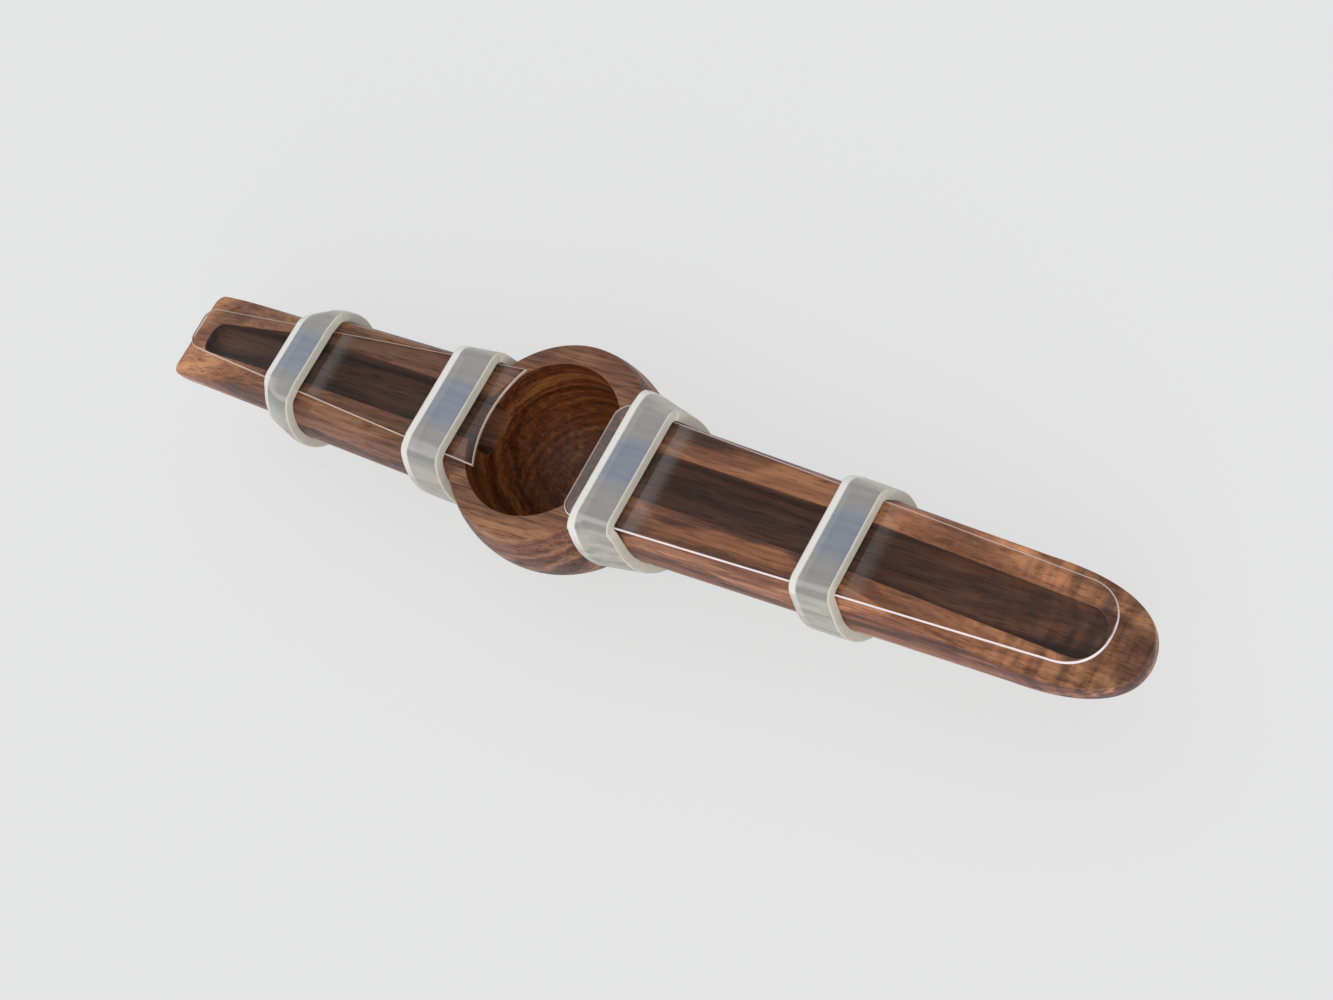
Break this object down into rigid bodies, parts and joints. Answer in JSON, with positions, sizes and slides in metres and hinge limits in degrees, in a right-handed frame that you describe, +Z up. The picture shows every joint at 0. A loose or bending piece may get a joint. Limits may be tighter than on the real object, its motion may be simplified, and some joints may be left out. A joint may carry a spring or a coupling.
{
  "type": "open-reed game call",
  "caption": "Double-ended open-reed game call: a turned wooden bowl with a channelled arm each side, clear film reeds that are pressed to change pitch, and clear stretched bands.",
  "frame": {"origin": "under the middle of the call's length, on its middle plane, level with the bottom of the ball", "axes": "+X along the call towards the bullet nose of the long arm, +Z up out of the planed flat, +Y completes the right-handed set"},
  "size_m": [0.146, 0.028, 0.0206],
  "materials": {
    "wood": "oiled, satin",
    "film": "clear polished film",
    "tube": "clear milky soft tube"
  },
  "bodies": {
    "call": {"call_body": "wood"},
    "short_reed": {"short_reed_heel": "film"},
    "short_tongue": {"short_reed_tongue": "film"},
    "long_reed": {"long_reed_heel": "film"},
    "long_tongue": {"long_reed_tongue": "film"},
    "short_outer_band": {"short_reed_outer_band": "tube"},
    "short_inner_band": {"short_reed_inner_band": "tube"},
    "long_inner_band": {"long_reed_inner_band": "tube"},
    "long_outer_band": {"long_reed_outer_band": "tube"}
  },
  "joints": [
    {"name": "short_reed_slide", "type": "slide", "parent": "call", "child": "short_reed", "axis": [-0.9997, -0.0236, 0], "range_m": [0, 0.0015]},
    {"name": "short_reed_press", "type": "hinge", "parent": "short_reed", "child": "short_tongue", "pos_m": [-0.0512, -0.00006, 0.0188], "axis": [0.0236, -0.9997, 0], "range_deg": [0, 11.5], "stiffness_Nm_per_rad": 0.02},
    {"name": "long_reed_slide", "type": "slide", "parent": "call", "child": "long_reed", "axis": [1, 0, 0], "range_m": [0, 0.0015]},
    {"name": "long_reed_press", "type": "hinge", "parent": "long_reed", "child": "long_tongue", "pos_m": [0.03905, 0, 0.0188], "axis": [0, 1, 0], "range_deg": [0, 7.2], "stiffness_Nm_per_rad": 0.017},
    {"name": "short_outer_band_slide", "type": "slide", "parent": "call", "child": "short_outer_band", "axis": [-1, 0, 0], "range_m": [0, 0.018]},
    {"name": "short_inner_band_slide", "type": "slide", "parent": "call", "child": "short_inner_band", "axis": [-1, 0, 0], "range_m": [0, 0.0195]},
    {"name": "long_inner_band_slide", "type": "slide", "parent": "call", "child": "long_inner_band", "axis": [1, 0, 0], "range_m": [0, 0.023]},
    {"name": "long_outer_band_slide", "type": "slide", "parent": "call", "child": "long_outer_band", "axis": [1, 0, 0], "range_m": [0, 0.019]}
  ]
}
